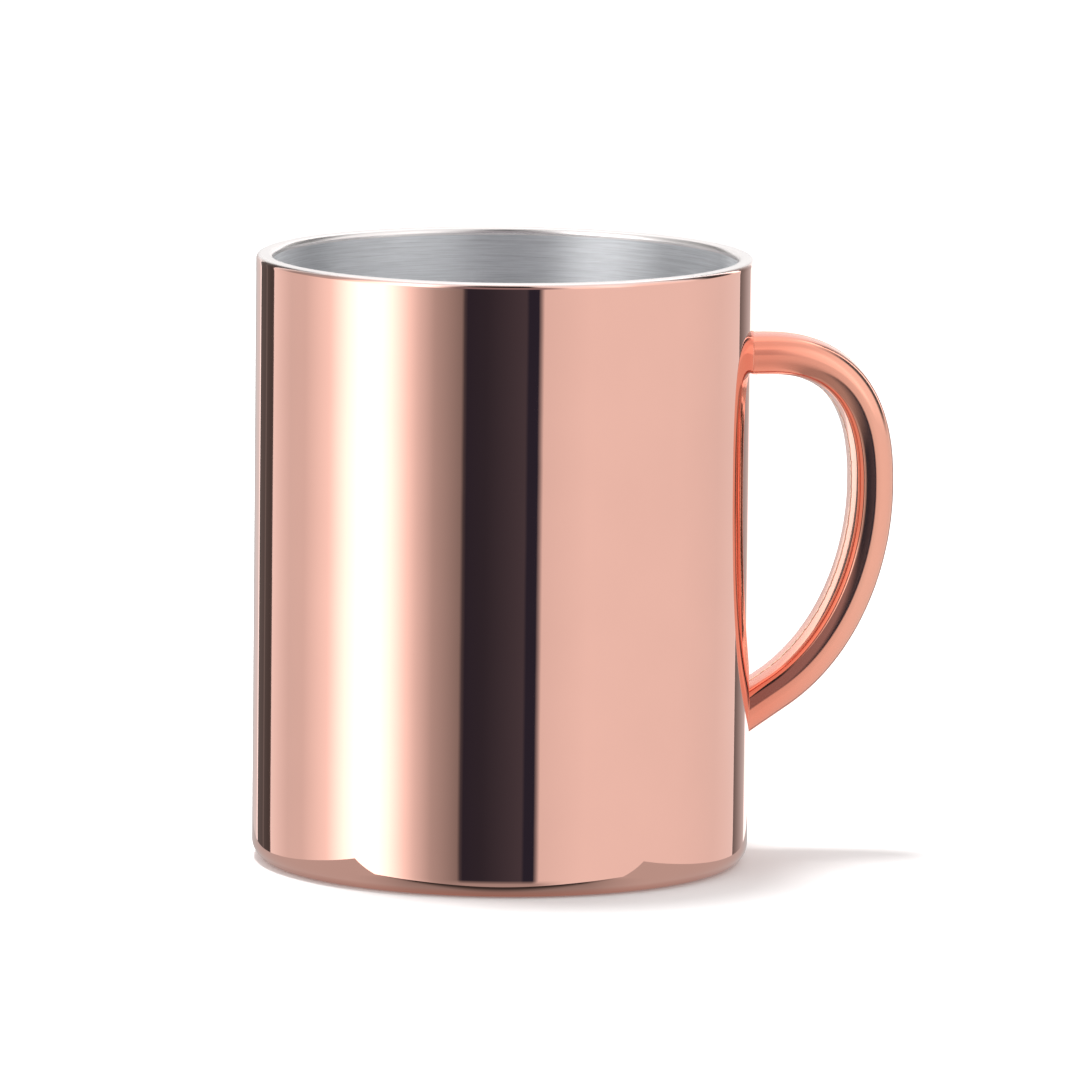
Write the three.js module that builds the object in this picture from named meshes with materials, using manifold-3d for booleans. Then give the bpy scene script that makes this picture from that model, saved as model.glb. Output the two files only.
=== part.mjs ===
// Double-walled steel drinking mug with a copper-finished outside and a hollow ear-shaped handle.
// Millimetres, +Z up. The origin is on the mug's axis, at the surface it stands on.
// The handle points along +X and is pressed in two halves that meet on the plane y = 0. Left and
// right are as seen by someone who looks from the handle towards the cup.

import * as THREE from "three";
import { mergeVertices } from "three/addons/utils/BufferGeometryUtils.js";
import Module from "manifold-3d";

const wasm = await Module();
wasm.setup();

// Cup
const HEIGHT = 98;
const OUTER_RADIUS = 40;
const SHEET = 0.5; // thickness of the shell, liner and base cover
const WALL_WIDTH = 2.6; // across both walls and the air between them
const LIP_HEIGHT = 1.2; // the welded ring at the mouth
const LIP_ROUNDING = 0.9;
const CORNER_RADIUS = 3; // the shell's bottom corner, outside
const FLOOR_HEIGHT = 6.5; // top of the liner's floor
const LINER_CORNER_RADIUS = 5; // inside
const FOOT_INNER_RADIUS = 32.5; // the shell's turned-in foot ends here
const BASE_WELD_WIDTH = 0.6;
const BASE_RECESS = 0.5; // how far the base cover sits above the foot

// Handle
const HANDLE_TOP_Z = 81.5; // centre line of the level stretch at the upper root
const HANDLE_BEND_X = 43; // where the bend starts
const HANDLE_REACH_X = 60.9; // centre line at its widest
const HANDLE_REACH_Z = 59.5;
const HANDLE_LOW_X = 45.1; // where the bend ends
const HANDLE_LOW_Z = 26.6;
const HANDLE_LOW_SLOPE = THREE.MathUtils.degToRad(33.3);
const UPPER_PULLS = [18, 5.4]; // how far each end of the upper bend holds its direction
const LOWER_PULLS = [12.9, 12.2];
const GRIP_THICKNESS = 6.65; // across the grip, in the handle's plane
const GRIP_DEPTH = 11; // along Y
const GRIP_FULLNESS = 2.6; // 2 is an ellipse, higher is squarer
const GRIP_SHEET = 0.8;
const SEAM_WIDTH = 0.8;
const ROOT_WELD_LENGTH = 0.5; // along the handle, from the wall
const ROOT_WELD_PROUD = 0.25; // how far the bead stands out of the grip
const ROOT_OVERRUN = 3; // how far the grip runs into the wall before it is trimmed
const WELD_CLEARANCE = 0.05;

// Fineness
const ROUND_SEGMENTS = 64;
const GRIP_STEPS = 34;
const GRIP_ARC_STEPS = 8;
const CORNER_STEPS = 5;
const LIP_STEPS = 4;
const MERGE_DISTANCE = 1e-4;

const COPPER = { color: 0xe0a795, roughness: 0.08, metalness: 1 };
const STEEL = { color: 0xb4b5b9, roughness: 0.32, metalness: 1 };
const WELD_COPPER = { color: 0xd99f8c, roughness: 0.2, metalness: 1 };

const innerRadius = OUTER_RADIUS - WALL_WIDTH;

function node(name, geometry, look) {
  const mesh = new THREE.Mesh(geometry, new THREE.MeshStandardMaterial(look));
  mesh.name = name;
  return mesh;
}

// Points of a quarter circle in (radius, height), from one angle to another in degrees.
function arc(centreR, centreZ, radius, fromDeg, toDeg, steps = CORNER_STEPS) {
  const points = [];
  for (let i = 0; i <= steps; i++) {
    const angle = THREE.MathUtils.degToRad(fromDeg + ((toDeg - fromDeg) * i) / steps);
    points.push([centreR + radius * Math.cos(angle), centreZ + radius * Math.sin(angle)]);
  }
  return points;
}

// Turns a closed (radius, height) outline about Z.
function turned(outline) {
  const points = outline.map(([r, z]) => new THREE.Vector2(r, z));
  const startsOnAxis = points[0].x === 0;
  if (!startsOnAxis) {
    points.push(points[0].clone());
  }
  const geometry = new THREE.LatheGeometry(points, ROUND_SEGMENTS);
  geometry.rotateX(Math.PI / 2);
  return geometry;
}

function toManifold(geometry) {
  const bare = geometry.clone();
  bare.deleteAttribute("normal");
  bare.deleteAttribute("uv");
  const merged = mergeVertices(bare, MERGE_DISTANCE);
  return new wasm.Manifold(
    new wasm.Mesh({
      numProp: 3,
      vertProperties: new Float32Array(merged.attributes.position.array),
      triVerts: new Uint32Array(merged.index.array),
    }),
  );
}

function fromManifold(solid) {
  const mesh = solid.getMesh();
  const geometry = new THREE.BufferGeometry();
  geometry.setAttribute("position", new THREE.BufferAttribute(mesh.vertProperties, 3));
  geometry.setIndex(new THREE.BufferAttribute(mesh.triVerts, 1));
  geometry.computeVertexNormals();
  return geometry;
}

// ---------------------------------------------------------------- cup

const lipBottomZ = HEIGHT - LIP_HEIGHT;

function outerShell() {
  const r = OUTER_RADIUS;
  const corner = CORNER_RADIUS;
  return turned([
    [FOOT_INNER_RADIUS, SHEET],
    [FOOT_INNER_RADIUS, 0],
    ...arc(r - corner, corner, corner, -90, 0),
    [r, lipBottomZ],
    [r - SHEET, lipBottomZ],
    ...arc(r - corner, corner, corner - SHEET, 0, -90),
  ]);
}

function innerLiner() {
  const corner = LINER_CORNER_RADIUS;
  const cornerZ = FLOOR_HEIGHT + corner;
  return turned([
    [0, FLOOR_HEIGHT - SHEET],
    ...arc(innerRadius - corner, cornerZ, corner + SHEET, -90, 0),
    [innerRadius + SHEET, lipBottomZ],
    [innerRadius, lipBottomZ],
    ...arc(innerRadius - corner, cornerZ, corner, 0, -90),
    [0, FLOOR_HEIGHT],
  ]);
}

// The ring that bridges liner and shell, ground round on top.
function lipWeld() {
  const round = LIP_ROUNDING;
  return turned([
    [innerRadius, lipBottomZ],
    [OUTER_RADIUS, lipBottomZ],
    ...arc(OUTER_RADIUS - round, HEIGHT - round, round, 0, 90, LIP_STEPS),
    ...arc(innerRadius + round, HEIGHT - round, round, 90, 180, LIP_STEPS),
  ]);
}

const coverRadius = FOOT_INNER_RADIUS - BASE_WELD_WIDTH;
const coverTopZ = BASE_RECESS + SHEET;

function baseCover() {
  return turned([
    [0, BASE_RECESS],
    [coverRadius, BASE_RECESS],
    [coverRadius, coverTopZ],
    [0, coverTopZ],
  ]);
}

// The ring that joins the foot's edge to the cover's edge.
function baseWeld() {
  const beadZ = BASE_RECESS / 2;
  return turned([
    [coverRadius, BASE_RECESS],
    [coverRadius + BASE_WELD_WIDTH / 3, beadZ],
    [FOOT_INNER_RADIUS, beadZ],
    [FOOT_INNER_RADIUS, SHEET],
    [coverRadius, coverTopZ],
  ]);
}

// ---------------------------------------------------------------- handle

// The grip's centre line, from inside the upper root to inside the lower one.
function gripPath() {
  const at = (x, z) => new THREE.Vector3(x, 0, z);
  const path = new THREE.CurvePath();
  const startX = OUTER_RADIUS - ROOT_OVERRUN;
  const upper = at(HANDLE_BEND_X, HANDLE_TOP_Z);
  const reach = at(HANDLE_REACH_X, HANDLE_REACH_Z);
  const lower = at(HANDLE_LOW_X, HANDLE_LOW_Z);
  const back = at(Math.cos(HANDLE_LOW_SLOPE), Math.sin(HANDLE_LOW_SLOPE));
  const endLength = (HANDLE_LOW_X - startX) / back.x;
  path.add(new THREE.LineCurve3(at(startX, HANDLE_TOP_Z), upper));
  path.add(
    new THREE.CubicBezierCurve3(
      upper,
      at(HANDLE_BEND_X + UPPER_PULLS[0], HANDLE_TOP_Z),
      at(HANDLE_REACH_X, HANDLE_REACH_Z + UPPER_PULLS[1]),
      reach,
    ),
  );
  path.add(
    new THREE.CubicBezierCurve3(
      reach,
      at(HANDLE_REACH_X, HANDLE_REACH_Z - LOWER_PULLS[0]),
      lower.clone().addScaledVector(back, LOWER_PULLS[1]),
      lower,
    ),
  );
  path.add(new THREE.LineCurve3(lower, lower.clone().addScaledVector(back, -endLength)));
  return path;
}

// A point of the grip's full, rounded section: u towards the fingers' gap, v along Y.
function gripPoint(halfU, halfV, angle) {
  const c = Math.cos(angle);
  const s = Math.sin(angle);
  const power = 2 / GRIP_FULLNESS;
  return [
    halfU * Math.sign(c) * Math.abs(c) ** power,
    halfV * Math.sign(s) * Math.abs(s) ** power,
  ];
}

function sweep(section) {
  const shape = new THREE.Shape(section.map(([u, v]) => new THREE.Vector2(u, v)));
  return new THREE.ExtrudeGeometry(shape, {
    steps: GRIP_STEPS,
    bevelEnabled: false,
    extrudePath: gripPath(),
  });
}

// Outline of one pressed half: a channel open towards the plane y = 0. side is +1 or -1.
function halfSection(side) {
  const halfU = GRIP_THICKNESS / 2;
  const halfV = GRIP_DEPTH / 2;
  const seamEdge = (SEAM_WIDTH / 2 / halfV) ** (GRIP_FULLNESS / 2);
  const start = Math.asin(seamEdge);
  const outside = [];
  const inside = [];
  for (let i = 0; i <= GRIP_ARC_STEPS; i++) {
    const angle = start + ((Math.PI - 2 * start) * i) / GRIP_ARC_STEPS;
    outside.push(gripPoint(halfU, halfV, angle));
    inside.push(gripPoint(halfU - GRIP_SHEET, halfV - GRIP_SHEET, angle));
  }
  inside[0][1] = outside[0][1];
  inside[GRIP_ARC_STEPS][1] = outside[GRIP_ARC_STEPS][1];
  return [...outside, ...inside.reverse()].map(([u, v]) => [u, v * side]);
}

// The bead that fills the joint between the halves. side is +1 on the fingers' side.
function seamSection(side) {
  const outer = GRIP_THICKNESS / 2;
  const halfWidth = SEAM_WIDTH / 2 - WELD_CLEARANCE;
  return [
    [outer - GRIP_SHEET, -halfWidth],
    [outer, -halfWidth],
    [outer + WELD_CLEARANCE, 0],
    [outer, halfWidth],
    [outer - GRIP_SHEET, halfWidth],
  ].map(([u, v]) => [u * side, v]);
}

function drum(radius) {
  const geometry = new THREE.CylinderGeometry(radius, radius, 2 * HEIGHT, ROUND_SEGMENTS);
  geometry.rotateX(Math.PI / 2);
  return toManifold(geometry);
}

const rootRadius = OUTER_RADIUS + WELD_CLEARANCE;
const weldEndRadius = rootRadius + ROOT_WELD_LENGTH;
const gripStartRadius = weldEndRadius + WELD_CLEARANCE;
const gripCutter = drum(gripStartRadius);

function gripPiece(section) {
  return fromManifold(toManifold(sweep(section)).subtract(gripCutter));
}

// The bead around one root: a ring with the grip's section, a little proud of it.
function rootWeld(upper) {
  const halfU = GRIP_THICKNESS / 2;
  const halfV = GRIP_DEPTH / 2;
  const ring = (inset) => {
    const points = [];
    const count = 4 * GRIP_ARC_STEPS;
    for (let i = 0; i < count; i++) {
      points.push(gripPoint(halfU - inset, halfV - inset, (2 * Math.PI * i) / count));
    }
    return toManifold(sweep(points));
  };
  const sleeve = ring(-ROOT_WELD_PROUD).subtract(ring(GRIP_SHEET));
  const band = sleeve.intersect(drum(weldEndRadius)).subtract(drum(rootRadius));
  const [first, second] = band.decompose();
  const firstIsUpper = first.boundingBox().min[2] > second.boundingBox().min[2];
  return fromManifold(firstIsUpper === upper ? first : second);
}

// ---------------------------------------------------------------- assembly

const mug = new THREE.Group();

const cup = new THREE.Group();
cup.add(node("outer_shell", outerShell(), COPPER));
cup.add(node("inner_liner", innerLiner(), STEEL));
cup.add(node("lip_weld", lipWeld(), COPPER));
cup.add(node("base_cover", baseCover(), COPPER));
cup.add(node("base_weld", baseWeld(), WELD_COPPER));
mug.add(cup);

const handle = new THREE.Group();
handle.add(node("handle_left_shell", gripPiece(halfSection(-1)), COPPER));
handle.add(node("handle_right_shell", gripPiece(halfSection(1)), COPPER));
handle.add(node("handle_inner_seam_weld", gripPiece(seamSection(1)), WELD_COPPER));
handle.add(node("handle_outer_seam_weld", gripPiece(seamSection(-1)), WELD_COPPER));
handle.add(node("handle_upper_weld", rootWeld(true), WELD_COPPER));
handle.add(node("handle_lower_weld", rootWeld(false), WELD_COPPER));
mug.add(handle);

export default mug;
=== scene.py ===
"""A double-walled drinking mug with a copper-finished outside, a brushed steel inside and a
hollow ear-shaped handle. Every length is in metres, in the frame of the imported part: +Z up, the
origin under the cup's middle, the handle towards +X."""

import math

import bpy
from mathutils import Matrix, Vector


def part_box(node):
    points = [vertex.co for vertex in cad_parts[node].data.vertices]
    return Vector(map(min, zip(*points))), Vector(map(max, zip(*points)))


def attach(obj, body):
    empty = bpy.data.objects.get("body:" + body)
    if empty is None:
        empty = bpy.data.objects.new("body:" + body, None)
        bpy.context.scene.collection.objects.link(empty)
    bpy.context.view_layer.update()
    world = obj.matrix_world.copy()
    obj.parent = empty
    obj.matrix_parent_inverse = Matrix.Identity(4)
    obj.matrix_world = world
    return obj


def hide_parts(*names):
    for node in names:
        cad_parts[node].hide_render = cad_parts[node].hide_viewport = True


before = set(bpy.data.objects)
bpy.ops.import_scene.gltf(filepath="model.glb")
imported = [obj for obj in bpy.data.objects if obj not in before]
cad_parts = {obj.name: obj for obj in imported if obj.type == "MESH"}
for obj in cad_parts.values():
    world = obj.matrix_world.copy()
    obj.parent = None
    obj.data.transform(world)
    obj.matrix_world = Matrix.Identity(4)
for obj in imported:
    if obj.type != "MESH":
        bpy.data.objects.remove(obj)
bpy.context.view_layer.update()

bl_info = {
    "name": "Copper Mug Maker",
    "version": (1, 0, 0),
    "blender": (4, 5, 0),
    "location": "View3D > Sidebar > Copper Mug",
    "description": "Builds a double-walled copper-finished mug around its packed frame",
    "category": "Add Mesh",
}

MM = 0.001
BODY = "root"

SHELL_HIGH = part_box("outer_shell")[1]
LIP_LOW, LIP_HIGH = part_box("lip_weld")
LINER_LOW, LINER_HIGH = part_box("inner_liner")
COVER_LOW, COVER_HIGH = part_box("base_cover")
WELD_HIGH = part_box("base_weld")[1]
GRIP_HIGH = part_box("handle_right_shell")[1]

SHEET = COVER_HIGH.z - COVER_LOW.z
LINER_RADIUS = LINER_HIGH.x - SHEET
MERGE_GAP = 0.001 * MM

ROOT_OVERRUN = 3 * MM
ROOT_BEAD = 0.3 * MM
SEAM_PROUD = 0.08 * MM
INNER_WANDER = 0.28 * MM
OUTER_WANDER = 0.06 * MM

CUP_POLISH = 0.022
CUP_RIPPLE = 0.019 * MM
HANDLE_POLISH = 0.07
HANDLE_RIPPLE = 0.004 * MM
LACQUER = 0.8

FLOOR_SIZE = 12
KEY_PLACE = (-0.13, 0.19, 1.35)
KEY_SIZE = 0.36
KEY_ENERGY = 20
CARD_DISTANCE = 0.45
CARD_HEIGHT = 1.8
CARD_DROP = 1.3
# Size of the glowing sheet that paints the floor's reflection in the foot, with painted shade near
# its front edge and painted light to the sides.
FLOOR_REFLECTION_SIDE = 48 * MM
FLOOR_REFLECTION_FRONT = 41.5 * MM
FLOOR_REFLECTION_BACK = 60 * MM
FLOOR_SHADE_FADE = 20 * MM
SIDE_LIGHT_START = 16 * MM
SIDE_LIGHT_FADE = 12 * MM
# How far in from the wall the painted warm bounce light of the copper reaches under the foot.
COPPER_BOUNCE_REACH = 3 * MM


# ------------------------------------------------------------------ sizes and colours


class CupSizes(bpy.types.PropertyGroup):
    """Sizes of the cup"""

    outer_radius: bpy.props.FloatProperty(
        name="Outer radius",
        description="Radius of the polished wall",
        default=SHELL_HIGH.x,
        unit="LENGTH",
    )
    height: bpy.props.FloatProperty(
        name="Height",
        description="From the foot to the top of the lip",
        default=LIP_HIGH.z,
        unit="LENGTH",
    )
    lip_height: bpy.props.FloatProperty(
        name="Lip height",
        description="Height of the welded ring at the mouth",
        default=LIP_HIGH.z - LIP_LOW.z,
        unit="LENGTH",
    )
    lip_rounding: bpy.props.FloatProperty(
        name="Lip rounding",
        description="Radius that is ground on both edges of the lip",
        default=0.9 * MM,
        unit="LENGTH",
    )
    sheet: bpy.props.FloatProperty(
        name="Sheet",
        description="Thickness of the shell, the liner and the base cover",
        default=SHEET,
        unit="LENGTH",
    )
    foot_corner: bpy.props.FloatProperty(
        name="Foot corner",
        description="Outside radius where the wall turns into the foot",
        default=3 * MM,
        unit="LENGTH",
    )
    liner_corner: bpy.props.FloatProperty(
        name="Liner corner",
        description="Inside radius between the liner's wall and its floor",
        default=5 * MM,
        unit="LENGTH",
    )
    segments: bpy.props.IntProperty(
        name="Segments",
        description="Facets around the cup",
        default=256,
        min=32,
        max=512,
    )


class HandleSizes(bpy.types.PropertyGroup):
    """Sizes of the handle"""

    top_z: bpy.props.FloatProperty(
        name="Top height",
        description="Height of the centre line at the upper root",
        default=81.5 * MM,
        unit="LENGTH",
    )
    bend_x: bpy.props.FloatProperty(
        name="Bend start",
        description="Distance from the cup's axis to where the grip starts to bend",
        default=43 * MM,
        unit="LENGTH",
    )
    reach: bpy.props.FloatVectorProperty(
        name="Reach",
        description="Where the centre line is farthest out: distance from the axis, and height",
        default=(60.9 * MM, 59.5 * MM),
        size=2,
    )
    lower: bpy.props.FloatVectorProperty(
        name="Lower end",
        description="Where the bend ends: distance from the axis, and height",
        default=(45.1 * MM, 26.6 * MM),
        size=2,
    )
    lower_slope: bpy.props.FloatProperty(
        name="Lower slope",
        description="Slope of the straight stretch at the lower root",
        default=math.radians(33.3),
        subtype="ANGLE",
    )
    pulls: bpy.props.FloatVectorProperty(
        name="Pulls",
        description="How far each end of the upper and of the lower bend holds its direction",
        default=(18 * MM, 5.4 * MM, 12.9 * MM, 12.2 * MM),
        size=4,
    )
    depth: bpy.props.FloatProperty(
        name="Grip depth",
        description="Across both halves of the grip",
        default=2 * GRIP_HIGH.y,
        unit="LENGTH",
    )
    thickness: bpy.props.FloatProperty(
        name="Grip thickness",
        description="Across the grip, in the handle's plane",
        default=6.65 * MM,
        unit="LENGTH",
    )
    rounding: bpy.props.FloatVectorProperty(
        name="Grip rounding",
        description="Radii of the inner face, inner corner, side, outer corner and outer face",
        default=(36 * MM, 1.9 * MM, 5.1 * MM, 3.1 * MM, 14.2 * MM),
        size=5,
    )
    sheet: bpy.props.FloatProperty(
        name="Grip sheet",
        description="Thickness of the pressed halves",
        default=0.8 * MM,
        unit="LENGTH",
    )
    seam_width: bpy.props.FloatProperty(
        name="Seam width",
        description="Width of the bead between the halves",
        default=0.8 * MM,
        unit="LENGTH",
    )
    steps: bpy.props.IntProperty(
        name="Steps",
        description="Sections along the grip",
        default=96,
        min=24,
        max=200,
    )


class Finishes(bpy.types.PropertyGroup):
    """Colours of the finishes"""

    copper: bpy.props.FloatVectorProperty(
        name="Copper",
        description="Colour of the polished copper on the cup",
        default=(0.9, 0.51, 0.42),
        subtype="COLOR",
        size=3,
    )
    handle_copper: bpy.props.FloatVectorProperty(
        name="Handle copper",
        description="Colour of the polished copper on the handle",
        default=(0.92, 0.43, 0.31),
        subtype="COLOR",
        size=3,
    )
    # Painted reflection: the handle's copper turns this redder colour next to its welds, where it
    # faces the cup's copper wall.
    root_copper: bpy.props.FloatVectorProperty(
        name="Root copper",
        description="Colour of the handle's copper next to its welds",
        default=(0.9, 0.29, 0.19),
        subtype="COLOR",
        size=3,
    )
    # Painted highlight: the seams get a paler copper that stands in for the gold glint along the
    # inner seam.
    seam_highlight_copper: bpy.props.FloatVectorProperty(
        name="Seam copper",
        description="Colour of the paler filler between the handle's halves",
        default=(0.95, 0.62, 0.45),
        subtype="COLOR",
        size=3,
    )
    lip_steel: bpy.props.FloatVectorProperty(
        name="Lip steel",
        description="Colour of the polished steel at the mouth",
        default=(0.9, 0.87, 0.86),
        subtype="COLOR",
        size=3,
    )
    steel: bpy.props.FloatVectorProperty(
        name="Steel",
        description="Colour of the brushed steel inside",
        default=(0.86, 0.87, 0.89),
        subtype="COLOR",
        size=3,
    )


# ------------------------------------------------------------------ modelling helpers


def fresh_start():
    """Leaves edit mode and deselects everything."""
    if bpy.context.object and bpy.context.object.mode != "OBJECT":
        bpy.ops.object.mode_set(mode="OBJECT")
    bpy.ops.object.select_all(action="DESELECT")


def name_it(name):
    piece = bpy.context.object
    piece.name = name
    piece.data.name = name
    return piece


def settle(piece):
    """Puts the object's origin at the world's origin, with its place in the mesh."""
    fresh_start()
    piece.select_set(True)
    bpy.context.view_layer.objects.active = piece
    bpy.ops.object.transform_apply(location=True, rotation=True, scale=True)


def clean_up(piece, smooth_angle=math.radians(32)):
    """Merges doubles, turns the faces outwards and shades the piece smooth."""
    settle(piece)
    bpy.ops.object.mode_set(mode="EDIT")
    bpy.ops.mesh.select_all(action="SELECT")
    bpy.ops.mesh.remove_doubles(threshold=MERGE_GAP)
    bpy.ops.mesh.normals_make_consistent(inside=False)
    bpy.ops.object.mode_set(mode="OBJECT")
    bpy.ops.object.shade_smooth_by_angle(angle=smooth_angle)


def arc(centre_r, centre_z, radius, start_deg, end_deg, steps):
    """Points of an arc in (radius, height)."""
    points = []
    for i in range(steps + 1):
        angle = math.radians(start_deg + (end_deg - start_deg) * i / steps)
        points.append((centre_r + radius * math.cos(angle), centre_z + radius * math.sin(angle)))
    return points


def straight(start, end, steps):
    """Points between two (radius, height) points, without the two ends."""
    return [
        (start[0] + (end[0] - start[0]) * i / steps, start[1] + (end[1] - start[1]) * i / steps)
        for i in range(1, steps)
    ]


def select_ring(piece, height, radius, gap=0.01 * MM):
    """Selects the vertices on one ring around Z."""
    bpy.ops.object.mode_set(mode="OBJECT")
    for vertex in piece.data.vertices:
        near = abs(vertex.co.z - height) < gap
        vertex.select = near and abs(math.hypot(vertex.co.x, vertex.co.y) - radius) < gap
    bpy.ops.object.mode_set(mode="EDIT")
    bpy.ops.mesh.select_mode(type="VERT")


def turned(name, outline, segments):
    """Draws a ring up an outline of (radius, height) by extruding it and changing its size."""
    fresh_start()
    first = outline[0]
    bpy.ops.mesh.primitive_circle_add(
        vertices=segments, radius=first[0], fill_type="NOTHING", location=(0, 0, first[1])
    )
    piece = name_it(name)
    settle(piece)
    bpy.ops.object.mode_set(mode="EDIT")
    bpy.ops.mesh.select_all(action="SELECT")
    before = first
    for point in outline[1:]:
        bpy.ops.mesh.extrude_region_move(
            TRANSFORM_OT_translate={"value": (0, 0, point[1] - before[1])}
        )
        growth = point[0] / before[0]
        bpy.ops.transform.resize(value=(growth, growth, 1), center_override=(0, 0, point[1]))
        before = point
    return piece


def ring_piece(name, outline, segments):
    """A ring whose outline closes on itself."""
    return turned(name, outline + [outline[0]], segments)


def dish_piece(name, outline, segments):
    """A piece whose outline starts and ends next to the axis, where a fan closes it."""
    piece = turned(name, outline, segments)
    bpy.ops.mesh.merge(type="CENTER")
    select_ring(piece, outline[0][1], outline[0][0])
    bpy.ops.mesh.merge(type="CENTER")
    return piece


# ------------------------------------------------------------------ materials


class Wiring:
    """Adds and joins nodes of one tree, from left to right."""

    def __init__(self, tree):
        self.tree = tree
        self.tree.nodes.clear()
        self.column = 0

    def add(self, kind, inputs=None, **settings):
        node = self.tree.nodes.new(kind)
        node.location = (self.column, 0)
        self.column += 190
        for key, value in settings.items():
            setattr(node, key, value)
        for key, value in (inputs or {}).items():
            if isinstance(value, bpy.types.NodeSocket):
                self.tree.links.new(value, node.inputs[key])
            else:
                node.inputs[key].default_value = value
        return node

    def math(self, operation, first, second=0.0, clamp=False):
        node = self.add("ShaderNodeMath", {0: first, 1: second}, operation=operation)
        node.use_clamp = clamp
        return node.outputs[0]

    def noise(self, vector, scale, detail=2.0, roughness=0.5):
        node = self.add(
            "ShaderNodeTexNoise",
            {"Vector": vector, "Scale": scale, "Detail": detail, "Roughness": roughness},
        )
        return node.outputs["Fac"]

    def stretched(self, vector, scale):
        node = self.add("ShaderNodeMapping", {"Vector": vector, "Scale": scale})
        return node.outputs["Vector"]

    def mapped(self, value, start, end, low=0.0, high=1.0):
        """Goes from low to high as a value goes from start to end."""
        node = self.add(
            "ShaderNodeMapRange",
            {"Value": value, "From Min": start, "From Max": end, "To Min": low, "To Max": high},
        )
        return node.outputs["Result"]

    def spread(self, value, low, high):
        """Maps the middle of a noise to low..high."""
        return self.mapped(value, 0.3, 0.7, low, high)

    def mixed(self, share, first, second):
        """A colour between two others."""
        node = self.add("ShaderNodeMix", {0: share, 6: first, 7: second}, data_type="RGBA")
        return node.outputs[2]

    def split(self, vector):
        return self.add("ShaderNodeSeparateXYZ", {"Vector": vector}).outputs

    def from_axis(self, parts):
        """Distance from the cup's axis."""
        across = self.add("ShaderNodeCombineXYZ", {"X": parts["X"], "Y": parts["Y"]})
        node = self.add("ShaderNodeVectorMath", {0: across.outputs[0]}, operation="LENGTH")
        return node.outputs["Value"]

    def ramp(self, value, stops, interpolation="LINEAR"):
        node = self.add("ShaderNodeValToRGB", {"Fac": value})
        ramp = node.color_ramp
        ramp.interpolation = interpolation
        while len(ramp.elements) > 1:
            ramp.elements.remove(ramp.elements[-1])
        ramp.elements[0].position = stops[0][0]
        ramp.elements[0].color = stops[0][1]
        for position, colour in stops[1:]:
            ramp.elements.new(position).color = colour
        return node.outputs["Color"]

    def tinted(self, colour, shade):
        """A colour whose brightness follows a value around 1."""
        node = self.add("ShaderNodeVectorMath", {0: colour}, operation="SCALE")
        self.tree.links.new(shade, node.inputs["Scale"])
        return node.outputs[0]


def new_material(name):
    material = bpy.data.materials.new(name)
    material.use_nodes = True
    return material, Wiring(material.node_tree)


def object_point(wiring):
    return wiring.add("ShaderNodeTexCoord").outputs["Object"]


def finish_material(wiring, shader):
    wiring.add("ShaderNodeOutputMaterial", {"Surface": shader.outputs[0]})


def bump(wiring, height, distance, strength=1.0, normal=None):
    inputs = {"Height": height, "Distance": distance, "Strength": strength}
    if normal is not None:
        inputs["Normal"] = normal
    return wiring.add("ShaderNodeBump", inputs).outputs["Normal"]


def painted_root_reflection(wiring, point, colour, root_colour, start_x, end_x):
    """Copper that is redder towards the roots: a painted reflection of the cup's copper wall,
    which the handle faces there.
    """
    share = wiring.mapped(wiring.split(point)["X"], start_x, end_x)
    return wiring.mixed(share, (*root_colour, 1), (*colour, 1))


def polished_copper(name, colour, polish, ripple, roots=None):
    """Mirror-polished copper: faint ripples of the sheet, cloudy polish and hairlines.

    Roots, if given, are the redder colour at the welds, a painted reflection of the cup's copper,
    and where it starts and ends."""
    material, wiring = new_material(name)
    point = object_point(wiring)
    if roots:
        colour = painted_root_reflection(wiring, point, colour, *roots)
    cloud = wiring.noise(point, 55.0, 3.0)
    hairline_space = wiring.stretched(point, (90.0, 90.0, 5200.0))
    hairlines = wiring.noise(hairline_space, 1.0, 2.0, 0.6)
    shade = wiring.spread(cloud, 0.985, 1.015)
    polish_cloud = wiring.spread(cloud, polish * 0.7, polish * 1.4)
    polish_lines = wiring.spread(hairlines, -0.2 * polish, 0.35 * polish)
    roughness = wiring.math("ADD", polish_cloud, polish_lines, clamp=True)
    sheet_waves = wiring.noise(wiring.stretched(point, (38.0, 38.0, 75.0)), 1.0, 2.0)
    waved = bump(wiring, sheet_waves, ripple)
    lined = bump(wiring, hairlines, 0.00006 * MM, 1.0, waved)
    shader = wiring.add(
        "ShaderNodeBsdfPrincipled",
        {
            "Base Color": wiring.tinted(colour, shade),
            "Metallic": 1.0,
            "Roughness": roughness,
            "Normal": lined,
            "Coat Weight": LACQUER if roots else 0.0,
            "Coat Roughness": 0.5,
        },
    )
    finish_material(wiring, shader)
    return material


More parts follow.
